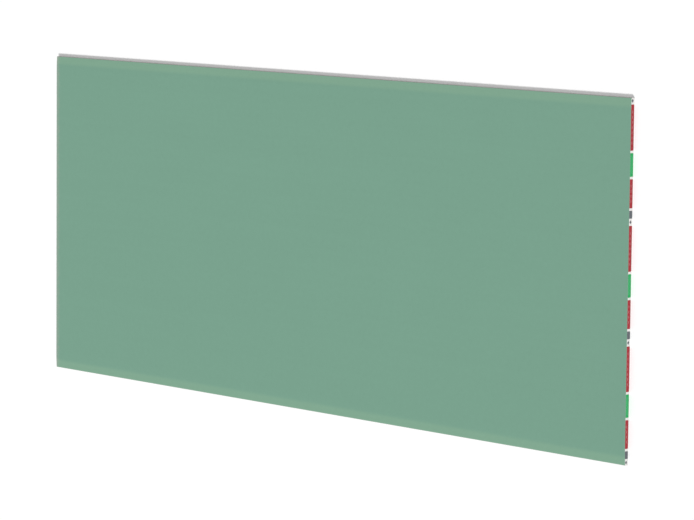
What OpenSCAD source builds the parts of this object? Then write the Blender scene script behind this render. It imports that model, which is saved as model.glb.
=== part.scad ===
// Drywall sheet: paper-faced gypsum board with tapered long edges, lying flat with its green face up.
// Origin at the centre of the back face; +X along the length, +Y across the width, +Z out of the face.

/* [Sheet] */
// Length of the sheet between its square-cut ends
sheet_l = 3050; // [2440:10:3660]
// Width of the sheet across its two long edges
sheet_w = 1220; // [600:10:1250]
// Thickness of the sheet in its flat middle
sheet_t = 15.9; // [9.5:0.1:25.4]

/* [Tapered long edges] */
// Width of the sloping margin along each long edge, measured to the sharp shoulder line
taper_w = 40; // [30:1:65]
// How much thinner the sheet is at a long edge than in its flat middle
taper_depth = 1.8; // [0.5:0.1:2.3]
// Radius of the soft shoulder that rolls the flat face into the slope
shoulder_r = 600; // [100:50:800]
// Radius of the paper fold between the slope and the long edge
face_fold_r = 2; // [1:0.1:3]
// Radius of the paper fold between the long edge and the back
back_fold_r = 1.2; // [0.5:0.1:2]

/* [End tape] */
// Thickness of the printed paper tape on the +X end, with its glue
tape_t = 0.3; // [0.1:0.05:0.6]

/* [Hidden] */

// Colours of the face paper and of the tape's print
face_green = [0.478, 0.635, 0.557];
print_red = [0.647, 0.165, 0.196];

// Segments of a full circle: a fold shows a quarter of one, a shoulder only about two degrees
fold_fn = 64;
shoulder_fn = 1800;

// Half the sheet, and the sharp shoulder line where the slope would meet the flat face
half_w = sheet_w / 2;
shoulder_y = half_w - taper_w;
slope_angle = atan(taper_depth / taper_w);

// The shoulder's arc runs from the flat face to the slope, one tangent length either side of the line
shoulder_tangent = shoulder_r * tan(slope_angle / 2);
shoulder_start_y = shoulder_y - shoulder_tangent;
shoulder_end_y = shoulder_y + shoulder_tangent * cos(slope_angle);
shoulder_centre = [shoulder_start_y, sheet_t - shoulder_r];

// The face fold's centre lies one fold radius inside both the long edge and the slope
face_fold_centre = [
    half_w - face_fold_r,
    sheet_t - face_fold_r / cos(slope_angle) - (taper_w - face_fold_r) * tan(slope_angle)
];
face_fold_start_y = face_fold_centre[0] + face_fold_r * sin(slope_angle);

// The back fold's centre lies one fold radius inside both the long edge and the back
back_fold_centre = [half_w - back_fold_r, back_fold_r];

// Arcs stand this much outside the lines they run into, so that the cuts cross and leave no sliver
arc_hair = 0.002;

// How far the cut-away shapes reach beyond the blank
waste_over = 5;
waste_y = half_w + waste_over;
waste_z = sheet_t + waste_over;

// What lies outside a disc within a rectangle that is given by two opposite corners
module outside_arc(centre, radius, low, high, segments) {
    difference() {
        translate(low)
            square(high - low);
        translate(centre)
            circle(r = radius + arc_hair, $fn = segments);
    }
}

// Everything of the blank that one long edge lacks, above its slope and outside its three arcs
module edge_waste() {
    polygon([
        [shoulder_y, sheet_t],
        [waste_y, sheet_t - (waste_y - shoulder_y) * tan(slope_angle)],
        [waste_y, waste_z],
        [shoulder_y, waste_z]
    ]);
    outside_arc(
        shoulder_centre,
        shoulder_r,
        [shoulder_start_y, sheet_t / 2],
        [shoulder_end_y, waste_z],
        shoulder_fn
    );
    outside_arc(
        face_fold_centre,
        face_fold_r,
        [face_fold_start_y, face_fold_centre[1]],
        [waste_y, waste_z],
        fold_fn
    );
    outside_arc(
        back_fold_centre,
        back_fold_r,
        [back_fold_centre[0], -waste_over],
        [waste_y, back_fold_centre[1]],
        fold_fn
    );
}

// Section across the width, with its back on y = 0: flat in the middle, thinner at both long edges
module sheet_section() {
    difference() {
        translate([-half_w, 0])
            square([sheet_w, sheet_t]);
        for (side = [0, 1])
            mirror([side, 0])
                edge_waste();
    }
}

// A length of the section along +X, starting at a place along the sheet
module section_run(start_x, length) {
    translate([start_x, 0, 0])
        rotate([90, 0, 90])
            linear_extrude(height = length)
                sheet_section();
}

// The board itself: gypsum with its bonded papers, cut square at both ends
module board() {
    color(face_green)
        section_run(-sheet_l / 2, sheet_l);
}

// The printed paper tape, glued to the +X end and trimmed to the board's section
module end_tape() {
    color(print_red)
        section_run(sheet_l / 2, tape_t);
}

board();
end_tape();
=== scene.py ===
"""Looks of a drywall sheet: a paper-faced gypsum board with tapered long edges and a printed end tape.

The sheet lies flat with its green face up, seen from above its taped end. Sizes are in metres, in the
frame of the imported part: X along the sheet, Y across it, Z out of its face. Colours are linear.
"""

import logging
import math
from dataclasses import dataclass
from enum import Enum, IntEnum
from typing import Iterable, Union

import bpy
import numpy as np
from mathutils import Matrix, Vector


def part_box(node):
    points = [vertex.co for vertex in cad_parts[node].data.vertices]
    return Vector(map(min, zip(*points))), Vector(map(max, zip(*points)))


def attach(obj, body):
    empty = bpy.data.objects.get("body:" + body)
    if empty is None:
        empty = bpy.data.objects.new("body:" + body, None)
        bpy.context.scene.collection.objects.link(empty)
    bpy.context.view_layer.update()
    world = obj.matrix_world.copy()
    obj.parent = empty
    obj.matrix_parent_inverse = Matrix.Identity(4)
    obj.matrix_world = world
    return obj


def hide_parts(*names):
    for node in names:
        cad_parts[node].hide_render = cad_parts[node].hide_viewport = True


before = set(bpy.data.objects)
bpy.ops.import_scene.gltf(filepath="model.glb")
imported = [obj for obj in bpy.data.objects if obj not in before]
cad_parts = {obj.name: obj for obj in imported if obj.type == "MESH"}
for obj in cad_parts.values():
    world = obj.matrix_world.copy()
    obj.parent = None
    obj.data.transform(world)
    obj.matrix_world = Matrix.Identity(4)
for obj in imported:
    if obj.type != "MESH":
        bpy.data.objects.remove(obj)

Array = np.ndarray
Rim = tuple[Array, Array]
Span = tuple[float, float]
Triple = tuple[float, float, float]
Colour = Triple
Socket = bpy.types.NodeSocket
Source = Union[Socket, float, tuple[float, ...]]
Pair = tuple[Source, Source]

MM = 0.001
WHITE: Colour = (1.0, 1.0, 1.0)
ROOT_BODY = "root"
BOARD_NODE = "board"
TAPE_NODE = "end_tape"
BAKE_MAP = "OFBake"
MATH_INPUTS = ("Value", "Value_001", "Value_002")
MIX_INPUTS = ("Factor_Float", "A_Color", "B_Color")
BOX_INPUTS = ("Along", "Across", "Centre", "Half_Length", "Half_Height", "Corner")

LOG = logging.getLogger("drywall_sheet")


class Zone(IntEnum):
    """The stretches of the sheet's surface, numbered as its materials are."""

    FACE = 0
    EDGE = 1
    BACK = 2
    CORE = 3


class Ink(Enum):
    """The inks of the tape's print, each with its colour."""

    RED = (0.376, 0.023, 0.032)
    GREEN = (0.012, 0.380, 0.105)
    SLATE = (0.118, 0.130, 0.144)


# Patterns and patches on arrays


@dataclass(frozen=True)
class Waves:
    """Smooth unevenness: a sum of plane waves of random heading, length and phase, of about unit spread."""

    shortest: float
    longest: float
    seed: int
    count: int = 28

    def at(self, places: Array) -> Array:
        """Height of the waves.

        Args:
            places: Points of any shape, with their coordinates on the last axis.

        Returns:
            One height about zero for each point.
        """
        draw = np.random.default_rng(self.seed)
        heading = draw.normal(size=(self.count, places.shape[-1]))
        heading /= np.linalg.norm(heading, axis=1, keepdims=True)
        lengths = np.exp(draw.uniform(math.log(self.shortest), math.log(self.longest), self.count))
        phases = draw.uniform(0, math.tau, self.count)
        turns = places @ (heading * (math.tau / lengths)[:, None]).T + phases
        return np.sin(turns).sum(-1) * math.sqrt(2 / self.count)


@dataclass(frozen=True)
class Pores:
    """Round pores scattered over a grid: each is a paraboloid, and where several meet the deepest holds."""

    count: int
    radii: Span
    depth_to_radius: float
    seed: int

    def at(self, places: Array) -> Array:
        """Depth of the pores.

        Args:
            places: Points on a grid, with two coordinates on the last axis.

        Returns:
            One depth for each point, zero outside the pores.
        """
        draw = np.random.default_rng(self.seed)
        centres = draw.uniform(places.min((0, 1)), places.max((0, 1)), (self.count, 2))
        radius = draw.uniform(*self.radii, self.count)
        apart = np.linalg.norm(places[..., None, :] - centres, axis=-1) / radius
        return self.depth_to_radius * ((1 - apart**2).clip(0) * radius).max(-1)


def rim_of_grid(columns: int, rows: int) -> Rim:
    """Border of a grid, once round from its first corner, along the columns first.

    Args:
        columns: Number of cells along the first axis.
        rows: Number of cells along the second axis.

    Returns:
        Column and row numbers of the border's points, without a repeated first point.
    """
    along, across = np.arange(columns), np.arange(rows)
    column = np.concatenate([along, np.full(rows, columns), columns - along, np.zeros(rows, int)])
    row = np.concatenate([np.zeros(columns, int), across, np.full(columns, rows), rows - across])
    return column, row


def closed(loops: Array) -> Array:
    """The loops with their first column repeated at the end, so that the last cell closes each ring."""
    return np.concatenate([loops, loops[:, :1]], axis=1)


def grid_map(along: Array, across: Array) -> Array:
    """Map coordinates of a grid from the two lists of values that its axes have on the map."""
    return np.stack(np.meshgrid(along, across, indexing="ij"), axis=-1)


def with_x(x: Array | float, plane: Array) -> Array:
    """Points across the sheet, given as Y and Z, with their X put before them."""
    return np.concatenate([np.broadcast_to(x, plane.shape[:-1])[..., None], plane], axis=-1)


def linked(name: str, data: bpy.types.ID) -> bpy.types.Object:
    """Makes an object at the origin and links it to the scene.

    Args:
        name: Name of the object.
        data: Its mesh, lamp or camera.

    Returns:
        The linked object.
    """
    made = bpy.data.objects.new(name, data)
    bpy.context.scene.collection.objects.link(made)
    return made


class Patchwork:
    """A mesh put together from patches of quads that share one list of points."""

    def __init__(self) -> None:
        """Starts with no points and no patches."""
        self._points: list[Array] = []
        self._quads: list[Array] = []
        self._zones: list[Array] = []
        self._maps: list[Array] = []

    def add_points(self, points: Array) -> Array:
        """Adds points.

        Args:
            points: Points of any shape, with X, Y and Z on the last axis.

        Returns:
            The number of each point in the mesh, shaped as the points are.
        """
        start = sum(map(len, self._points))
        self._points.append(points.reshape(-1, 3))
        return start + np.arange(len(self._points[-1])).reshape(points.shape[:-1])

    def add_inside(self, points: Array, rim: Rim, border: Array) -> Array:
        """Adds the points inside a grid whose border the mesh already has.

        Args:
            points: All points of the grid.
            rim: Column and row numbers of the grid's border.
            border: Numbers of the border's points.

        Returns:
            The number of each point of the grid.
        """
        numbers = np.empty(points.shape[:2], int)
        numbers[rim] = border
        numbers[1:-1, 1:-1] = self.add_points(points[1:-1, 1:-1])
        return numbers

    def add_patch(self, numbers: Array, bake_map: Array, zone: Array | int, flip: bool) -> None:
        """Adds one quad for each cell of a grid of point numbers.

        Args:
            numbers: Point numbers on a grid; a quad goes round its cell along the first axis first.
            bake_map: Place of each grid point on the bake's map.
            zone: Material number of all the cells, or one for each column of cells along the last axis.
            flip: Whether the quads face the other way.
        """
        steps = [(0, 0), (1, 0), (1, 1), (0, 1)]
        if flip:
            steps.reverse()
        tall, wide = numbers.shape[0] - 1, numbers.shape[1] - 1
        corners = [np.s_[a : a + tall, b : b + wide] for a, b in steps]
        self._quads.append(np.stack([numbers[c] for c in corners], axis=-1).reshape(-1, 4))
        self._maps.append(np.stack([bake_map[c] for c in corners], axis=-2).reshape(-1, 2))
        self._zones.append(np.broadcast_to(zone, (tall, wide)).ravel())

    def add_sheet(self, numbers: Array, band: Span, zone: int = 0, flip: bool = False) -> None:
        """Adds a grid that fills a band of the bake's map from end to end."""
        bake_map = grid_map(np.linspace(0, 1, len(numbers)), np.linspace(*band, numbers.shape[1]))
        self.add_patch(numbers, bake_map, zone, flip)

    def add_ring(self, loops: Rim, band: Span, round_map: Array, zone: int = 0, flip: bool = False) -> None:
        """Adds a closed ring between two loops, which lie at the edges of a band of the bake's map."""
        bake_map = grid_map(np.array(band), round_map)[..., ::-1]
        self.add_patch(closed(np.stack(loops)), bake_map, zone, flip)

    def build(
        self, name: str, materials: Iterable[bpy.types.Material], sharp_angle: float
    ) -> bpy.types.Object:
        """Puts the patches into one smooth-shaded object.

        Args:
            name: Name of the object and its mesh.
            materials: Materials in the order of the zones' numbers.
            sharp_angle: Angle between faces, in radians, past which their edge is sharp.

        Returns:
            The linked object.
        """
        mesh = bpy.data.meshes.new(name)
        mesh.from_pydata(np.vstack(self._points), [], np.vstack(self._quads), shade_flat=False)
        for material in materials:
            mesh.materials.append(material)
        mesh.polygons.foreach_set("material_index", np.concatenate(self._zones).astype(np.int32))
        mesh.set_sharp_from_angle(angle=sharp_angle)
        layer = mesh.uv_layers.new(name=BAKE_MAP)
        layer.uv.foreach_set("vector", np.vstack(self._maps).astype(np.float32).ravel())
        mesh.validate()
        return linked(name, mesh)


# Shader graphs


@dataclass(frozen=True)
class Noise:
    """A noise by its cycles to the metre, alike or set for each axis, its detail and its turn about Z."""

    scale: float | Triple
    detail: float
    turn: float = 0.0


class Graph:
    """A node tree written one call to a node, where a source is a socket to link or a value to set.

    A noise stays near a half, so the gain widens it about there to fill about minus one to one.
    """

    noise_gain = 4.0

    def __init__(self, tree: bpy.types.NodeTree) -> None:
        """Takes the tree that the calls add to."""
        self.tree = tree

    def find(self, kind: str) -> bpy.types.Node:
        """The first node of a type that the tree already has."""
        return next(node for node in self.tree.nodes if node.type == kind)

    def feed(self, node: bpy.types.Node, sources: dict[str, Source]) -> None:
        """Links a node's inputs to their sources, or sets their values.

        Args:
            node: The node.
            sources: Source for each input, by its identifier or name; a colour is three numbers.
        """
        inputs = {socket.name: socket for socket in node.inputs}
        inputs |= {socket.identifier: socket for socket in node.inputs}
        for name, source in sources.items():
            if isinstance(source, Socket):
                self.tree.links.new(source, inputs[name])
            else:
                inputs[name].default_value = (*source, 1.0) if inputs[name].type == "RGBA" else source

    def add(self, kind: str, sources: dict[str, Source] | None = None, **settings: object) -> bpy.types.Node:
        """Adds a node.

        Args:
            kind: Blender's name for the kind of node.
            sources: Source for each input.
            **settings: The node's own settings.

        Returns:
            The new node.
        """
        node = self.tree.nodes.new(kind)
        for name, value in settings.items():
            setattr(node, name, value)
        self.feed(node, sources or {})
        return node

    def math(self, operation: str, *sources: Source) -> Socket:
        """The result of one sum on values, with the sources in the operation's own order."""
        return self.add("ShaderNodeMath", dict(zip(MATH_INPUTS, sources)), operation=operation).outputs[0]

    def spread(self, value: Source, low: float, high: float, start: float = 0.0, end: float = 1.0) -> Socket:
        """A value taken smoothly from start to end as it goes from low to high, and held outside."""
        sources = {"Value": value, "From Min": low, "From Max": high, "To Min": start, "To Max": end}
        return self.add("ShaderNodeMapRange", sources, interpolation_type="SMOOTHSTEP").outputs[0]

    def mix(self, share: Source, under: Source, over: Source) -> Socket:
        """One colour with a share of another over it."""
        node = self.add("ShaderNodeMix", dict(zip(MIX_INPUTS, (share, under, over))), data_type="RGBA")
        return next(socket for socket in node.outputs if socket.identifier == "Result_Color")

    def brighten(self, colour: Source, factor: Source) -> Socket:
        """A colour times a value."""
        sources = {"Vector": colour, "Scale": factor}
        return self.add("ShaderNodeVectorMath", sources, operation="SCALE").outputs[0]

    def noise(self, place: Source, noise: Noise) -> Socket:
        """A noise about zero.

        Args:
            place: Where the noise is read.
            noise: The noise's scale, detail and turn.

        Returns:
            The noise's value.
        """
        scale = noise.scale
        if isinstance(scale, tuple):
            turned = {"Vector": place, "Rotation": (0.0, 0.0, noise.turn), "Scale": scale}
            place, scale = self.add("ShaderNodeMapping", turned).outputs[0], 1.0
        node = self.add("ShaderNodeTexNoise", {"Vector": place, "Scale": scale, "Detail": noise.detail})
        return self.math("MULTIPLY_ADD", node.outputs["Fac"], self.noise_gain, -self.noise_gain / 2)


class SharedEffect(Graph):
    """A shader node group with named inputs and outputs, built once and placed in several materials."""

    def __init__(self, name: str, inputs: Iterable[str], outputs: Iterable[str]) -> None:
        """Makes the group's tree and its sockets.

        Args:
            name: Name of the group.
            inputs: Names of the inputs, which are values, apart from Place, which is a vector.
            outputs: Names of the outputs, which are values.
        """
        super().__init__(bpy.data.node_groups.new(name, "ShaderNodeTree"))
        for way, names in (("INPUT", inputs), ("OUTPUT", outputs)):
            for socket in names:
                kind = "NodeSocketVector" if socket == "Place" else "NodeSocketFloat"
                self.tree.interface.new_socket(name=socket, in_out=way, socket_type=kind)
        self.given = self.add("NodeGroupInput").outputs
        self._end = self.add("NodeGroupOutput")

    def put_out(self, **results: Source) -> None:
        """Links each named output to its source."""
        self.feed(self._end, results)

    def place(self, graph: Graph, **sources: Source) -> bpy.types.NodeOutputs:
        """The outputs of the group, placed in a material's graph with a source for each input."""
        return graph.add("ShaderNodeGroup", sources, node_tree=self.tree).outputs


@dataclass(frozen=True)
class PaperFibre:
    """Paper made on a machine: soft clouds, streaks along the run, and fibres laid mostly along it."""

    broad_cloud: Noise = Noise(3.2, 2.0)
    broad_share: float = 0.6
    fine_cloud: Noise = Noise(55.0, 3.0)
    streaks: Noise = Noise((0.7, 42.0, 42.0), 3.0)
    fibres: tuple[Noise, Noise] = (
        Noise((210.0, 2300.0, 2300.0), 1.0, math.radians(24)),
        Noise((210.0, 2300.0, 2300.0), 1.0, math.radians(-31)),
    )
    fleck_start: float = 0.9
    fleck_full: float = 1.5
    tooth: Noise = Noise(1500.0, 2.0)
    tooth_share: float = 0.35

    def build(self) -> SharedEffect:
        """Builds the group.

        Returns:
            The group, which puts out the parts of the paper's tone and the height of its fibre.
        """
        effect = SharedEffect("paper_fibre", ("Place",), ("Cloud", "Streak", "Fleck", "Height"))
        noises = (self.broad_cloud, self.fine_cloud, self.streaks, self.tooth, *self.fibres)
        broad, fine, streak, tooth, *layers = (effect.noise(effect.given["Place"], noise) for noise in noises)
        fibre = effect.math("ADD", *layers)
        pale = effect.spread(fibre, self.fleck_start, self.fleck_full)
        dark = effect.spread(fibre, -self.fleck_start, -self.fleck_full)
        effect.put_out(
            Cloud=effect.math("MULTIPLY_ADD", broad, self.broad_share, fine),
            Streak=streak,
            Fleck=effect.math("SUBTRACT", pale, dark),
            Height=effect.math("MULTIPLY_ADD", tooth, self.tooth_share, fibre),
        )
        return effect


@dataclass(frozen=True)
class BrokenFilm:
    """A film that thins out away from a line: its nearness, which may be patchy, times a mask of specks."""

    name: str
    specks: Noise
    speck_span: Span
    between_specks: float = 0.0
    patches: Noise | None = None
    patch_share: float = 0.0

    def build(self) -> SharedEffect:
        """Builds the group.

        Returns:
            The group, which puts out the film's mask.
        """
        effect = SharedEffect(self.name, ("Place", "Distance", "Reach"), ("Mask",))
        place = effect.given["Place"]
        away = effect.math("DIVIDE", effect.given["Distance"], effect.given["Reach"])
        if self.patches:
            away = effect.math("MULTIPLY_ADD", effect.noise(place, self.patches), self.patch_share, away)
        specks = effect.spread(effect.noise(place, self.specks), *self.speck_span, self.between_specks)
        effect.put_out(Mask=effect.math("MULTIPLY", effect.spread(away, 1.0, 0.0), specks))
        return effect


@dataclass(frozen=True)
class PrintedBox:
    """A box with rounded corners: the distance to a box one corner radius smaller, less that radius."""

    blur: float = 0.12 * MM

    def build(self) -> SharedEffect:
        """Builds the group.

        Returns:
            The group, which puts out the box's mask.
        """
        effect = SharedEffect("printed_box", BOX_INPUTS, ("Mask",))
        given = effect.given
        along = effect.math("SUBTRACT", given["Along"], given["Centre"])
        square: Source = 0.0
        for offset, half in ((along, given["Half_Length"]), (given["Across"], given["Half_Height"])):
            limit = effect.math("SUBTRACT", half, given["Corner"])
            past = effect.math("SUBTRACT", effect.math("ABSOLUTE", offset), limit)
            outside = effect.math("MAXIMUM", past, 0.0)
            square = effect.math("MULTIPLY_ADD", outside, outside, square)
        distance = effect.math("SUBTRACT", effect.math("SQRT", square), given["Corner"])
        effect.put_out(Mask=effect.spread(distance, self.blur, -self.blur))
        return effect


DUST_FILM = BrokenFilm(
    name="gypsum_dust",
    specks=Noise(1300.0, 3.0),
    speck_span=(-0.8, 1.0),
    between_specks=0.35,
    patches=Noise(90.0, 3.0),
    patch_share=0.25,
)
RUB_FILM = BrokenFilm(name="rubbed_fold", specks=Noise((14.0, 300.0, 300.0), 4.0), speck_span=(-0.3, 0.9))


class Effects:
    """The effects that the sheet's finishes share, each built once."""

    def __init__(self) -> None:
        """Builds the four groups."""
        self.fibre = PaperFibre().build()
        self.dust = DUST_FILM.build()
        self.rub = RUB_FILM.build()
        self.box = PrintedBox().build()


# The section


@dataclass(frozen=True)
class Section:
    """The sheet's section across its width, with the part's own sizes.

    The upper line is flat in the middle, rolls over a shoulder arc into a straight slope, and turns down
    round a fold arc to the long edge. The lower line is the back, which steps up from the liner to the
    turned-in edge paper. A line inset into the sheet is the same line with the radius of every arc that
    much smaller.
    """

    half_width: float
    thickness: float
    taper_width: float = 40 * MM
    taper_depth: float = 1.8 * MM
    shoulder_radius: float = 600 * MM
    face_fold: float = 2 * MM
    back_fold: float = 1.2 * MM
    lap_from_edge: float = 16 * MM
    lap_run: float = 0.25 * MM
    flat_cells: int = 286
    shoulder_cells: int = 8
    slope_cells: int = 20
    fold_cells: int = 8
    tinted_cells: int = 4
    flap_cells: int = 8
    rows: int = 12

    @property
    def slope(self) -> float:
        """Angle of the taper, in radians."""
        return math.atan2(self.taper_depth, self.taper_width)

    @property
    def flat_end(self) -> float:
        """Where the flat middle ends and the shoulder's arc begins."""
        tangent = self.shoulder_radius * math.tan(self.slope / 2)
        return self.half_width - self.taper_width - tangent

    @property
    def tint_end(self) -> float:
        """Where the tinted paper gives way to the grey, part of the way round the face fold."""
        angle = self.slope + (math.pi / 2 - self.slope) * self.tinted_cells / self.fold_cells
        return self.half_width - self.face_fold * (1 - math.sin(angle))

    @property
    def lap_line(self) -> float:
        """Where the turned-in edge paper ends on the back."""
        return self.half_width - self.lap_from_edge

    @property
    def columns(self) -> int:
        """Number of cells across the whole width."""
        return 2 * (self.flat_cells + self.shoulder_cells + self.slope_cells + self.fold_cells)

    @staticmethod
    def _arc(centre: Span, radius: float, angles: Array) -> Array:
        """Points of an arc, with angles in radians from straight up towards the long edge."""
        return np.stack([centre[0] + radius * np.sin(angles), centre[1] + radius * np.cos(angles)], axis=-1)

    def upper(self, inset: float) -> Array:
        """Upper line of one half, from the middle to the long edge.

        Args:
            inset: How far the line lies inside the surface.

        Returns:
            Points as Y and Z.
        """
        flat = np.linspace(0, self.flat_end, self.flat_cells, endpoint=False)
        level = np.stack([flat, np.full_like(flat, self.thickness - inset)], axis=-1)
        angles = np.linspace(0, self.slope, self.shoulder_cells + 1)
        centre = (self.flat_end, self.thickness - self.shoulder_radius)
        shoulder = self._arc(centre, self.shoulder_radius - inset, angles)
        fall = (self.taper_width - self.face_fold) * math.tan(self.slope)
        fold_height = self.thickness - self.face_fold / math.cos(self.slope) - fall
        angles = np.linspace(self.slope, math.pi / 2, self.fold_cells + 1)
        fold = self._arc((self.half_width - self.face_fold, fold_height), self.face_fold - inset, angles)
        share = np.linspace(0, 1, self.slope_cells, endpoint=False)[:, None]
        slope = shoulder[-1] + (fold[0] - shoulder[-1]) * share
        return np.vstack([level, shoulder[:-1], slope, fold])

    def lower(self, inset: float, lap: float) -> Array:
        """Lower line of one half, from the middle to the long edge.

        Args:
            inset: How far the line lies inside the surface.
            lap: Height of the step from the liner up to the edge paper.

        Returns:
            Points as Y and Z, as many as the upper line has.
        """
        flat = np.linspace(0, self.flat_end, self.flat_cells, endpoint=False)
        liner_cells = self.shoulder_cells + self.slope_cells - self.flap_cells
        liner = np.linspace(self.flat_end, self.lap_line, liner_cells)
        fold_y = self.half_width - self.back_fold
        flap = np.linspace(self.lap_line + self.lap_run, fold_y, self.flap_cells, endpoint=False)
        across = np.concatenate([flat, liner, flap])
        heights = np.where(across > self.lap_line, inset + lap, inset)
        angles = np.linspace(math.pi, math.pi / 2, self.fold_cells + 1)
        fold = self._arc((fold_y, self.back_fold + lap), self.back_fold - inset, angles)
        return np.vstack([np.stack([across, heights], axis=-1), fold])

    def grid(self, inset: float = 0.0, lap: float = 0.0) -> Array:
        """The whole section as a grid: straight lines from the lower line to the upper one, in equal steps.

        Args:
            inset: How far the grid's border lies inside the surface.
            lap: Height of the step on the back.

        Returns:
            Points as Y and Z, by column across the width and row from the back to the face.
        """
        halves = (self.lower(inset, lap), self.upper(inset))
        lower, upper = (np.vstack([half[:0:-1] * (-1, 1), half]) for half in halves)
        share = np.linspace(0, 1, self.rows + 1)[None, :, None]
        return lower[:, None] + (upper - lower)[:, None] * share

    def heights_at(self, across: Array) -> Rim:
        """Heights of the back and of the face at places across the width."""
        border = self.grid()
        return tuple(np.interp(across, border[:, row, 0], border[:, row, 1]) for row in (0, -1))


# Finishes


@dataclass(frozen=True)
class Film:
    """A film on a finish: its colour, how far it reaches from its line, and how much of it shows."""

    colour: Colour
    reach: float
    share: float


class Surface(Graph):
    """A material in the making, with its Object coordinates and the shared effects at hand."""

    def __init__(self, name: str, effects: Effects) -> None:
        """Makes the material and reads its places.

        Args:
            name: Name of the material.
            effects: The shared effects.
        """
        self.effects = effects
        self.material = bpy.data.materials.new(name)
        self.material.use_nodes = True
        super().__init__(self.material.node_tree)
        self.place = self.add("ShaderNodeTexCoord").outputs["Object"]

    def axis(self, name: str) -> Socket:
        """One of the Object coordinates, by its letter."""
        return self.add("ShaderNodeSeparateXYZ", {"Vector": self.place}).outputs[name]

    def from_middle(self) -> Socket:
        """Distance from the middle of the width."""
        return self.math("ABSOLUTE", self.axis("Y"))

    def grained(self, colour: Source, grain: Triple) -> Pair:
        """Paper with its grain.

        Args:
            colour: The paper's even colour.
            grain: Shares of clouds, streaks and flecks in its tone.

        Returns:
            The grained colour and the height of the fibre.
        """
        fibre = self.effects.fibre.place(self, Place=self.place)
        tone: Source = 1.0
        for part, share in zip(fibre, grain):
            tone = self.math("MULTIPLY_ADD", part, share, tone)
        return self.brighten(colour, tone), fibre["Height"]

    def filmed(self, effect: SharedEffect, colour: Source, distance: Source, film: Film) -> Socket:
        """A colour under a film, which the effect masks by the distance from the film's line."""
        mask = effect.place(self, Place=self.place, Distance=distance, Reach=film.reach)["Mask"]
        return self.mix(self.math("MULTIPLY", mask, film.share), colour, film.colour)

    def box(self, spot: Pair, centre: float, size: Span, corner: float) -> Socket:
        """Mask of a printed box, by its middle along the print, its length and height, and its corners."""
        values = (*spot, centre, size[0] / 2, size[1] / 2, corner)
        return self.effects.box.place(self, **dict(zip(BOX_INPUTS, values)))["Mask"]


@dataclass(frozen=True, kw_only=True)
class Finish:
    """What every finish has: its material's name, its roughness, its gloss and the depth of its relief."""

    name: str
    roughness: float = 0.82
    specular: float = 0.15
    relief: float = 0.02 * MM

    def make(self, effects: Effects) -> bpy.types.Material:
        """Makes the material.

        Args:
            effects: The shared effects.

        Returns:
            The material, with the finish's colour and relief on its shader.
        """
        surface = Surface(self.name, effects)
        colour, height = self.dress(surface)
        relief = {"Height": height, "Distance": self.relief, "Strength": 1.0}
        looks = {
            "Base Color": colour,
            "Roughness": self.roughness,
            "Specular IOR Level": self.specular,
            "Normal": surface.add("ShaderNodeBump", relief).outputs["Normal"],
        }
        surface.feed(surface.find("BSDF_PRINCIPLED"), looks)
        return surface.material

    def dress(self, surface: Surface) -> Pair:
        """The colour of the finish and the height of its relief, which each kind has of its own."""
        raise NotImplementedError


@dataclass(frozen=True, kw_only=True)
class PlainPaper(Finish):
    """Undyed recycled paper with visible fibre, as on the back."""

    section: Section
    half_length: float
    name: str = "back_paper"
    colour: Colour = (0.43, 0.385, 0.315)
    grain: Triple = (0.05, 0.025, 0.13)
    dust: Film = Film((0.66, 0.65, 0.62), reach=14 * MM, share=0.5)

    def dress(self, surface: Surface) -> Pair:
        """The paper with its grain, its wear and the dust at the bare end.

        Args:
            surface: The material in the making.

        Returns:
            The colour and the height of the relief.
        """
        toned, height = surface.grained(self.ground(surface), self.grain)
        worn = self.wear(surface, toned)
        from_bare_end = surface.math("ADD", surface.axis("X"), self.half_length)
        return surface.filmed(surface.effects.dust, worn, from_bare_end, self.dust), height

    def ground(self, surface: Surface) -> Source:
        """The paper's colour before its grain."""
        return self.colour

    def wear(self, surface: Surface, colour: Source) -> Source:
        """The colour with its wear, which flat paper has none of."""
        return colour


@dataclass(frozen=True, kw_only=True)
class FacePaper(PlainPaper):
    """Green face paper, a shade paler on the tapered margins, where a highlight is painted; its tint ends on
    the folds.
    """

    name: str = "face_paper"
    colour: Colour = (0.187, 0.353, 0.263)
    grain: Triple = (0.012, 0.007, 0.10)
    dust: Film = Film((0.44, 0.40, 0.38), reach=26 * MM, share=0.6)
    # Painted highlight: the paler green of the tapered margins, reached between the two distances below, in
    # from the long edge.
    margin_highlight_colour: Colour = (0.214, 0.382, 0.274)
    highlight_start: float = 38 * MM
    highlight_full: float = 21 * MM
    untinted_colour: Colour = (0.45, 0.435, 0.425)
    untinted: float = 0.3 * MM
    tint_wander: float = 0.15 * MM
    wander: Noise = Noise((25.0, 1.0, 1.0), 4.0)
    rub: Film = Film((0.36, 0.47, 0.40), reach=3 * MM, share=0.3)

    def ground(self, surface: Surface) -> Source:
        """The green, with a painted highlight that makes it paler on the tapered margins."""
        limits = (self.section.half_width - width for width in (self.highlight_start, self.highlight_full))
        return surface.mix(surface.spread(surface.from_middle(), *limits), self.colour, self.margin_highlight_colour)

    def wear(self, surface: Surface, colour: Source) -> Source:
        """The colour with the wandering end of its tint and its rubbed folds.

        Args:
            surface: The material in the making.
            colour: The grained colour.

        Returns:
            The worn colour.
        """
        to_fold = surface.math("SUBTRACT", self.section.tint_end, surface.from_middle())
        wander = surface.noise(surface.place, self.wander)
        to_tint = surface.math("MULTIPLY_ADD", wander, self.tint_wander, to_fold)
        bare = surface.spread(to_tint, self.untinted + self.tint_wander, self.untinted - self.tint_wander)
        tinted = surface.mix(bare, colour, self.untinted_colour)
        return surface.filmed(surface.effects.rub, tinted, to_fold, self.rub)


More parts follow.
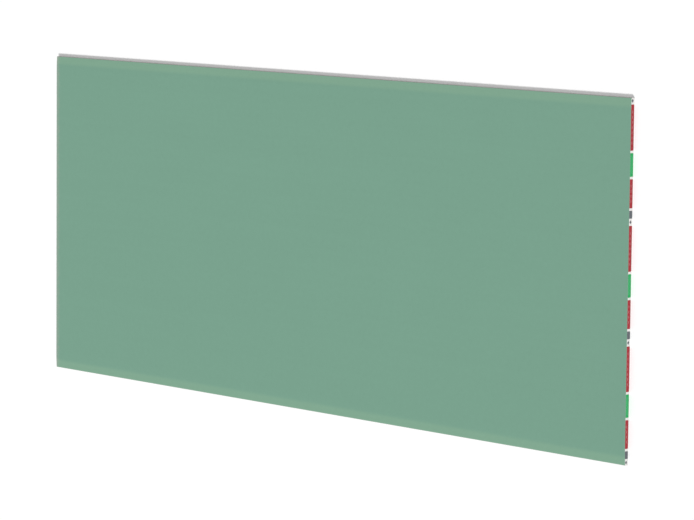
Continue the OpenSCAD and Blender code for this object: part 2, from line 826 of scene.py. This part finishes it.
@dataclass(frozen=True, kw_only=True)
class EdgePaper(PlainPaper):
    """Grey paper round the long edges, rubbed pale along both folds."""

    name: str = "edge_paper"
    colour: Colour = (0.45, 0.435, 0.425)
    grain: Triple = (0.03, 0.015, 0.10)
    rub: Film = Film((0.60, 0.58, 0.56), reach=2.5 * MM, share=0.45)

    def wear(self, surface: Surface, colour: Source) -> Source:
        """The colour with the folds at the top and bottom of the edge rubbed.

        Args:
            surface: The material in the making.
            colour: The grained colour.

        Returns:
            The worn colour.
        """
        height, fold_height = surface.axis("Z"), self.section.thickness - self.section.taper_depth
        to_fold = surface.math("MINIMUM", height, surface.math("SUBTRACT", fold_height, height))
        return surface.filmed(surface.effects.rub, colour, to_fold, self.rub)


@dataclass(frozen=True)
class Mottle:
    """A noise with its shares in a finish's tone and in the height of its relief."""

    noise: Noise
    tone: float
    height: float


@dataclass(frozen=True, kw_only=True)
class GypsumCore(Finish):
    """Cut gypsum: off-white, faintly clouded, scored by the saw, with small air pores here and there,
    darkened inside by painted shade.

    The pores are the middles of a Voronoi pattern's cells, with their distances made uneven by a noise.
    """

    name: str = "gypsum_core"
    roughness: float = 0.95
    specular: float = 0.12
    relief: float = 0.10 * MM
    colour: Colour = (0.72, 0.71, 0.68)
    clouds: Mottle = Mottle(Noise(120.0, 4.0), tone=0.03, height=0.0)
    grit: Mottle = Mottle(Noise(1400.0, 3.0), tone=0.03, height=0.5)
    scores: Mottle = Mottle(Noise((200.0, 1100.0, 45.0), 2.0), tone=0.025, height=0.3)
    # Painted shade: the darker colour laid inside the pores.
    painted_pore_shade: Colour = (0.50, 0.49, 0.46)
    pore_scale: float = 700.0
    pore_edge: Span = (0.20, 0.06)
    pore_height: float = -1.5
    uneven: Noise = Noise(260.0, 2.0)
    uneven_share: float = 0.16

    def dress(self, surface: Surface) -> Pair:
        """The cut core with its clouds, grit, scores, and pores darkened by painted shade.

        Args:
            surface: The material in the making.

        Returns:
            The colour and the height of the relief.
        """
        place = surface.place
        tone, height = 1.0, 0.0
        for mottle in (self.clouds, self.grit, self.scores):
            value = surface.noise(place, mottle.noise)
            tone = surface.math("MULTIPLY_ADD", value, mottle.tone, tone)
            height = surface.math("MULTIPLY_ADD", value, mottle.height, height)
        cells = surface.add("ShaderNodeTexVoronoi", {"Vector": place, "Scale": self.pore_scale})
        uneven = surface.noise(place, self.uneven)
        distance = surface.math("MULTIPLY_ADD", uneven, self.uneven_share, cells.outputs["Distance"])
        pore = surface.spread(distance, *self.pore_edge)
        # The pores' mask darkens the colour as painted shade and sinks the relief.
        colour = surface.mix(pore, surface.brighten(self.colour, tone), self.painted_pore_shade)
        return colour, surface.math("MULTIPLY_ADD", pore, self.pore_height, height)


@dataclass(frozen=True)
class PrintedBar:
    """One bar of the tape's print, placed within a repeat."""

    ink: Ink
    centre: float
    length: float


@dataclass(frozen=True, kw_only=True)
class TapePrint(Finish):
    """White tape paper with a repeat of plain bars, and a lozenge where two repeats meet.

    A dash or bar is a rounded box in the plane of the end, and the repeat wraps the place along the tape.
    """

    name: str = "tape_print"
    roughness: float = 0.55
    specular: float = 0.35
    relief: float = 0.012 * MM
    paper: Colour = (0.80, 0.79, 0.77)
    grain: Triple = (0.02, 0.0, 0.03)
    dust: Film = Film((0.72, 0.71, 0.69), reach=3 * MM, share=0.5)
    gaps: Noise = Noise(1100.0, 1.0)
    gap_span: Span = (1.25, 1.6)
    ink_in_gaps: float = 0.35
    pale: Colour = (0.78, 0.70, 0.69)
    pale_green: Colour = (0.22, 0.58, 0.33)
    repeat: float = 0.400
    middle: float = 9.4 * MM
    half_height: float = 8 * MM
    corner: float = 3 * MM
    dash_pitch: float = 17 * MM
    dash_length: float = 9 * MM
    dash_height: float = 1.2 * MM
    line_height: float = 0.7 * MM
    line_apart: float = 6 * MM
    mark_end: float = 9 * MM
    lozenge: Span = (7 * MM, 5 * MM)
    lozenge_edge: Span = (1.02, 0.98)
    bars: tuple[PrintedBar, ...] = (
        PrintedBar(Ink.SLATE, -0.175, 0.026),
        PrintedBar(Ink.RED, -0.106, 0.096),
        PrintedBar(Ink.GREEN, -0.011, 0.078),
        PrintedBar(Ink.RED, 0.112, 0.152),
    )

    def dress(self, surface: Surface) -> Pair:
        """The white paper with its bars and marks, specks that took little ink, and dust along its foot.

        Args:
            surface: The material in the making.

        Returns:
            The colour and the height of the relief.
        """
        along = surface.math("WRAP", surface.axis("Y"), self.repeat / 2, -self.repeat / 2)
        spot = (along, surface.math("SUBTRACT", surface.axis("Z"), self.middle))
        gaps = surface.noise(surface.place, self.gaps)
        inked = surface.spread(gaps, *self.gap_span, 1.0, self.ink_in_gaps)
        colour: Source = self.paper
        for bar in self.bars:
            shape = surface.box(spot, bar.centre, (bar.length, 2 * self.half_height), self.corner)
            colour = surface.mix(surface.math("MULTIPLY", shape, inked), colour, bar.ink.value)
            if bar.ink is not Ink.SLATE:
                pale = self.pale_green if bar.ink is Ink.GREEN else self.pale
                colour = surface.mix(self._marks(surface, spot, bar), colour, pale)
        colour = surface.mix(self._lozenges(surface, spot), colour, Ink.SLATE.value)
        toned, height = surface.grained(colour, self.grain)
        return surface.filmed(surface.effects.dust, toned, surface.axis("Z"), self.dust), height

    def _marks(self, surface: Surface, spot: Pair, bar: PrintedBar) -> Socket:
        """Mask of the pale marks in a bar: twin lines in a green one, otherwise a row of dashes.

        The twin lines are one line with the place across the tape folded about its middle. The row is one
        dash with the place along the tape wrapped at the dashes' pitch.

        Args:
            surface: The material in the making.
            spot: Places along and across the tape.
            bar: The bar that the marks are in.

        Returns:
            The mask.
        """
        along, across = spot
        inside, half_pitch = bar.length - 2 * self.mark_end, self.dash_pitch / 2
        if bar.ink is Ink.GREEN:
            size = (inside, self.line_height)
            paired = surface.math("SUBTRACT", surface.math("ABSOLUTE", across), self.line_apart / 2)
            return surface.box((along, paired), bar.centre, size, self.line_height / 2)
        row = int(inside / self.dash_pitch) * self.dash_pitch
        field = surface.box(spot, bar.centre, (row, self.half_height), 0.0)
        from_first = surface.math("SUBTRACT", along, bar.centre - row / 2 + half_pitch)
        within = surface.math("WRAP", from_first, half_pitch, -half_pitch)
        size = (self.dash_length, self.dash_height)
        dash = surface.box((within, across), 0.0, size, self.dash_height / 2)
        return surface.math("MULTIPLY", field, dash)

    def _lozenges(self, surface: Surface, spot: Pair) -> Socket:
        """Mask of the lozenge: its two distances, over its half sizes, add up to under one.

        Args:
            surface: The material in the making.
            spot: Places along and across the tape.

        Returns:
            The mask.
        """
        along, across = (surface.math("ABSOLUTE", place) for place in spot)
        share = surface.math("DIVIDE", surface.math("SUBTRACT", self.repeat / 2, along), self.lozenge[0])
        total = surface.math("MULTIPLY_ADD", across, 1 / self.lozenge[1], share)
        return surface.spread(total, *self.lozenge_edge)


# The sheet


@dataclass(frozen=True)
class Board:
    """The sheet's body: one closed skin of paper, with the core showing a little sunk at the bare end.

    The skin is the section's border carried along X. At the bare end the paper's cut edge stands a hair
    proud of the core, whose surface has the roughness and pores of cut gypsum. On the bake's map the skin
    reaches from nought to its top, with the long edges drawn wider by their weight, and the rest have bands.
    """

    section: Section
    half_length: float
    name: str = "sheet_body"
    sharp_angle: float = math.radians(32)
    end_steps: tuple[float, ...] = (0, 0.5 * MM, 1 * MM, 1.8 * MM, 3 * MM, 6 * MM, 14 * MM)
    run_stations: int = 42
    paper: float = 0.45 * MM
    lap: float = 0.3 * MM
    lap_wander: float = 0.8 * MM
    lap_reach: float = 5 * MM
    lap_waves: Waves = Waves(0.35, 1.4, seed=11, count=9)
    crush: float = 0.22 * MM
    crush_reach: float = 2.2 * MM
    crush_mean: float = 0.6
    crush_spread: float = 0.3
    crush_waves: Waves = Waves(6 * MM, 60 * MM, seed=12)
    ragged: float = 0.12 * MM
    ragged_limit: float = 2.5
    ragged_waves: Waves = Waves(1.5 * MM, 12 * MM, seed=13)
    core_sunk: float = 0.35 * MM
    least_step: float = 0.08 * MM
    core_rough: float = 0.10 * MM
    rough_limit: float = 2.0
    fine_share: float = 0.6
    fine_waves: Waves = Waves(3 * MM, 9 * MM, seed=21)
    broad_share: float = 0.8
    broad_waves: Waves = Waves(15 * MM, 80 * MM, seed=22)
    pores: Pores = Pores(170, (1.4 * MM, 3.0 * MM), depth_to_radius=0.22, seed=23)
    skin_top: float = 0.82
    cut_band: Span = (0.835, 0.85)
    wall_band: Span = (0.855, 0.87)
    core_band: Span = (0.88, 0.96)
    taped_band: Span = (0.97, 0.99)
    edge_weight: float = 4.0

    def build(self, effects: Effects) -> bpy.types.Object:
        """Builds the sheet's mesh and dresses it.

        Args:
            effects: The shared effects.

        Returns:
            The piece, riding on the part's body in place of the part's board.
        """
        piece = self._mesh().build(self.name, self._finishes(effects), self.sharp_angle)
        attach(piece, ROOT_BODY)
        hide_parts(BOARD_NODE)
        return piece

    def _finishes(self, effects: Effects) -> list[bpy.types.Material]:
        """Makes the sheet's materials, in the order of the zones."""
        size = {"section": self.section, "half_length": self.half_length}
        return [
            finish.make(effects)
            for finish in (FacePaper(**size), EdgePaper(**size), PlainPaper(**size), GypsumCore())
        ]

    def _stations(self) -> Array:
        """Places along X that the section is carried through, close together at the bare end."""
        steps = np.array(self.end_steps) - self.half_length
        return np.concatenate([steps[:-1], np.linspace(steps[-1], self.half_length, self.run_stations)])

    def _skin_points(self, loop: Array, stations: Array) -> Array:
        """The border carried along X, with a wandering lap on the back and a worn arris at the bare end.

        The lap moves across by a slow wave along X, most at the lap's own line. Near the bare end the border
        closes in on mid thickness by a share that falls off exponentially from the cut, and fine waves draw
        the cut edge itself back.

        Args:
            loop: The section's border, as Y and Z.
            stations: Places along X.

        Returns:
            Points by station and place on the border.
        """
        section = self.section
        across, height = loop[:, 0], loop[:, 1]
        x = np.repeat(stations[:, None], len(loop), axis=1)
        x[0] += self.ragged * (1 + self.ragged_waves.at(loop)).clip(0, self.ragged_limit)
        off_lap = (np.abs(across) - section.lap_line) / self.lap_reach
        near_lap = np.exp(-(off_lap**2)) * (height < section.back_fold)
        wander = self.lap_waves.at(stations[:, None])[:, None]
        y = across + np.sign(across) * near_lap * wander * self.lap_wander
        fall = np.exp(-(stations + self.half_length) / self.crush_reach)[:, None]
        uneven = self.crush_mean + self.crush_spread * self.crush_waves.at(loop)
        closing = self.crush * fall * uneven.clip(0, 1)
        from_middle = height - section.thickness / 2
        z = height - np.sign(from_middle) * np.minimum(closing, np.abs(from_middle))
        return np.stack([x, y, z], axis=-1)

    def _zones(self, loop: Array, rim: Rim) -> Array:
        """Zone of each cell round the border, from where its two ends are.

        Args:
            loop: The section's border, as Y and Z.
            rim: Column and row numbers of the border.

        Returns:
            The zone's number for each cell.
        """
        section = self.section
        mid = np.abs(loop[:, 0] + np.roll(loop[:, 0], -1)) / 2
        bottom, top = ((rim[1] == row) & (np.roll(rim[1], -1) == row) for row in (0, section.rows))
        face = top & (mid < section.tint_end)
        back = bottom & (mid < section.lap_line + section.lap_run)
        return np.select([face, back], [Zone.FACE, Zone.BACK], Zone.EDGE)

    def _core_points(self, grid: Array) -> Array:
        """The core's cut surface: sunk behind the paper, rough in two scales of waves, with round pores.

        Args:
            grid: The section's grid inside the paper.

        Returns:
            Points on the same grid.
        """
        rough = self.fine_share * self.fine_waves.at(grid) + self.broad_share * self.broad_waves.at(grid)
        uneven = self.core_rough * rough.clip(-self.rough_limit, self.rough_limit)
        return with_x(self.core_sunk + uneven + self.pores.at(grid) - self.half_length, grid)

    def _mesh(self) -> Patchwork:
        """The skin, the paper's cut edge and the core at the bare end, and the plain end under the tape.

        Returns:
            All patches of the sheet's body.
        """
        section, work, stations = self.section, Patchwork(), self._stations()
        rim = rim_of_grid(section.columns, section.rows)
        outer, inner = section.grid(lap=self.lap), section.grid(self.paper)
        loop = outer[rim]
        points = self._skin_points(loop, stations)
        edge_x = points[0, :, 0]
        skin = work.add_points(points)

        zones = self._zones(loop, rim)
        lengths = np.linalg.norm(np.roll(loop, -1, axis=0) - loop, axis=1)
        shown = np.cumsum(lengths * np.where(zones == Zone.EDGE, self.edge_weight, 1))
        round_map = np.concatenate([[0], shown]) / shown[-1]
        along_map = (stations - stations[0]) / np.ptp(stations)
        work.add_patch(closed(skin), grid_map(along_map, self.skin_top * round_map), zones, flip=True)

        cut = work.add_points(with_x(edge_x, inner[rim]))
        work.add_ring((cut, skin[0]), self.cut_band, round_map, Zone.BACK, flip=True)
        points = self._core_points(inner)
        points[(*rim, 0)] = np.maximum(points[(*rim, 0)], edge_x + self.least_step)
        core = work.add_inside(points, rim, work.add_points(points[rim]))
        work.add_ring((core[rim], cut), self.wall_band, round_map, Zone.BACK, flip=True)
        work.add_sheet(core, self.core_band, Zone.CORE, flip=True)
        plain = work.add_inside(with_x(self.half_length, outer), rim, skin[-1])
        work.add_sheet(plain, self.taped_band, Zone.CORE)
        return work


@dataclass(frozen=True)
class EndTape:
    """The printed paper tape on the +X end: a thin closed strip in the section's outline, with a few creases.

    Its outer face is a grid across the width and up the thickness, raised along slanted creases, each a
    bell-shaped ridge. Its inner face lies on the board's end. On the bake's map the outer face is cut into
    rows, one above the other.
    """

    section: Section
    low_x: float
    high_x: float
    name: str = "end_tape_strip"
    sharp_angle: float = math.radians(40)
    inset: float = 0.25 * MM
    gap: float = 0.02 * MM
    rows: int = 8
    ragged: float = 0.25 * MM
    ragged_reach: float = 2 * MM
    ragged_waves: Waves = Waves(2 * MM, 9 * MM, seed=31)
    flat_share: float = 0.55
    creases: int = 22
    crease_width: Span = (0.8 * MM, 2.6 * MM)
    crease_slant: float = 0.7
    crease_height: Span = (0.35, 1.0)
    crease_seed: int = 32
    map_rows: int = 8
    cells_per_row: int = 96
    rows_top: float = 0.95
    row_gap: float = 0.004
    inner_band: Span = (0.955, 0.975)
    rim_band: Span = (0.98, 0.995)

    def build(self, effects: Effects) -> bpy.types.Object:
        """Builds the tape's mesh and dresses it.

        Args:
            effects: The shared effects.

        Returns:
            The piece, riding on the part's body in place of the part's tape.
        """
        piece = self._mesh().build(self.name, [TapePrint().make(effects)], self.sharp_angle)
        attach(piece, ROOT_BODY)
        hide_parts(TAPE_NODE)
        return piece

    def _outline(self) -> Array:
        """The strip's grid in the plane of the end, trimmed just inside the section, with ragged ends.

        Returns:
            Points as Y and Z, by column across the width and row up the thickness.
        """
        half = self.section.half_width - self.inset
        across = np.linspace(-half, half, self.map_rows * self.cells_per_row + 1)
        back, face = self.section.heights_at(across)
        share = np.linspace(0, 1, self.rows + 1)
        height = (back + self.inset)[:, None] + (face - back - 2 * self.inset)[:, None] * share
        at_end = np.exp(-(half - np.abs(across)) / self.ragged_reach)[:, None]
        rag = self.ragged * (1 + self.ragged_waves.at(height[..., None])).clip(0)
        y = across[:, None] - np.sign(across)[:, None] * at_end * rag
        return np.stack([y, height], axis=-1)

    def _relief(self, outline: Array) -> Array:
        """Height of the creases over the flat strip.

        Args:
            outline: The strip's grid in the plane of the end.

        Returns:
            The tallest crease's height at each point, from nought to one.
        """
        draw = np.random.default_rng(self.crease_seed)
        half = self.section.half_width
        centre = draw.uniform(-half, half, self.creases)
        slant = draw.uniform(-self.crease_slant, self.crease_slant, self.creases)
        width = draw.uniform(*self.crease_width, self.creases)
        tall = draw.uniform(*self.crease_height, self.creases)
        off = outline[..., :1] - centre - slant * outline[..., 1:]
        return (tall * np.exp(-((off / width) ** 2))).max(-1)

    def _mesh(self) -> Patchwork:
        """The strip's outer face, inner face and rim.

        Returns:
            All patches of the tape.
        """
        work, outline = Patchwork(), self._outline()
        raised = self.flat_share + (1 - self.flat_share) * self._relief(outline)
        outer = work.add_points(with_x(self.low_x + (self.high_x - self.low_x) * raised, outline))
        inner = work.add_points(with_x(self.low_x + self.gap, outline))
        row_edges = np.linspace(0, self.rows_top, self.map_rows + 1)
        for row, (low, high) in enumerate(zip(row_edges, row_edges[1:])):
            first = row * self.cells_per_row
            stretch = outer[first : first + self.cells_per_row + 1]
            work.add_sheet(stretch, (low + self.row_gap, high - self.row_gap))
        work.add_sheet(inner, self.inner_band, flip=True)
        rim = rim_of_grid(len(outline) - 1, self.rows)
        round_map = np.linspace(0, 1, len(rim[0]) + 1)
        work.add_ring((outer[rim], inner[rim]), self.rim_band, round_map)
        return work


# The stage


@dataclass(frozen=True)
class Stage:
    """A plain pale floor and soft light, level enough that a colour renders about as it is written."""

    floor_half: float = 150.0
    floor_drop: float = 0.2 * MM
    floor_colour: Colour = (0.92, 0.92, 0.92)
    floor_glow: float = 0.10
    sky: float = 0.47
    sun_share: float = 0.53
    sun_from: Triple = (0.42, -0.58, 0.70)
    sun_softness: float = math.radians(10)

    def build(self) -> None:
        """Makes the floor, the sky and the sun."""
        self._floor()
        self._sky()
        self._sun()

    def _floor(self) -> None:
        """A flat square just under the sheet, matt, and lifted to white for the camera only."""
        corners = np.array([(-1, -1), (1, -1), (1, 1), (-1, 1)]) * self.floor_half
        points = np.column_stack([corners, np.full(len(corners), -self.floor_drop)])
        mesh = bpy.data.meshes.new("floor")
        mesh.from_pydata(points.tolist(), [], [range(len(corners))])
        material = bpy.data.materials.new("floor")
        material.use_nodes = True
        material.cycles.emission_sampling = "NONE"
        graph = Graph(material.node_tree)
        seen = graph.add("ShaderNodeLightPath").outputs["Is Camera Ray"]
        looks = {
            "Base Color": self.floor_colour,
            "Roughness": 1.0,
            "Specular IOR Level": 0.0,
            "Emission Color": WHITE,
            "Emission Strength": graph.math("MULTIPLY", seen, self.floor_glow),
        }
        graph.feed(graph.find("BSDF_PRINCIPLED"), looks)
        mesh.materials.append(material)
        floor = linked("floor", mesh)

    def _sky(self) -> None:
        """An even sky, white where it is seen directly, in gloss or through glass."""
        world = bpy.data.worlds.new("soft_sky")
        bpy.context.scene.world = world
        world.use_nodes = True
        graph = Graph(world.node_tree)
        rays = graph.add("ShaderNodeLightPath").outputs
        seen = graph.math("MAXIMUM", rays["Is Camera Ray"], rays["Is Glossy Ray"])
        seen = graph.math("MAXIMUM", seen, rays["Is Transmission Ray"])
        strength = graph.math("MULTIPLY_ADD", seen, 1 - self.sky, self.sky)
        graph.feed(graph.find("BACKGROUND"), {"Color": WHITE, "Strength": strength})

    def _sun(self) -> None:
        """A soft sun that adds its share of the light on a level surface."""
        direction = Vector(self.sun_from).normalized()
        lamp = bpy.data.lights.new("soft_sun", "SUN")
        lamp.energy = self.sun_share * math.pi / direction.z
        lamp.angle = self.sun_softness
        sun = linked("soft_sun", lamp)
        sun.rotation_mode = "QUATERNION"
        sun.rotation_quaternion = direction.to_track_quat("Z", "Y")


@dataclass(frozen=True)
class View:
    """The camera, high above the taped end and turned so that the sheet's width runs up the frame."""

    place: Triple = (9.6159, 1.3473, 8.7114)
    target: Triple = (0.1565, -0.0425, 0.0159)
    up: Triple = (-0.08586, 0.99415, -0.0655)
    lens: float = 187.68
    sensor: float = 36.0
    far: float = 200.0

    def build(self) -> None:
        """Makes the camera and sets it as the scene's."""
        data = bpy.data.cameras.new("view")
        data.sensor_fit = "HORIZONTAL"
        data.sensor_width = self.sensor
        data.lens = self.lens
        data.clip_end = self.far
        back = (Vector(self.place) - Vector(self.target)).normalized()
        right = Vector(self.up).cross(back).normalized()
        up = back.cross(right)
        turn = Matrix((right, up, back)).transposed().to_4x4()
        camera = linked("view", data)
        camera.matrix_world = Matrix.Translation(self.place) @ turn
        bpy.context.scene.camera = camera


def main() -> None:
    """Builds the stage, the view and the sheet's two pieces."""
    logging.basicConfig(level=logging.INFO, format="%(name)s: %(message)s")
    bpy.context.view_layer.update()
    bpy.context.scene.view_settings.view_transform = "Standard"
    Stage().build()
    View().build()
    effects = Effects()
    board_low, board_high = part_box(BOARD_NODE)
    tape_low, tape_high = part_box(TAPE_NODE)
    section = Section(half_width=board_high.y, thickness=board_high.z - board_low.z)
    for maker in (Board(section, board_high.x), EndTape(section, tape_low.x, tape_high.x)):
        piece = maker.build(effects)
        LOG.info("%s: %d points, %d quads", piece.name, len(piece.data.vertices), len(piece.data.polygons))


if __name__ == "__main__":
    main()
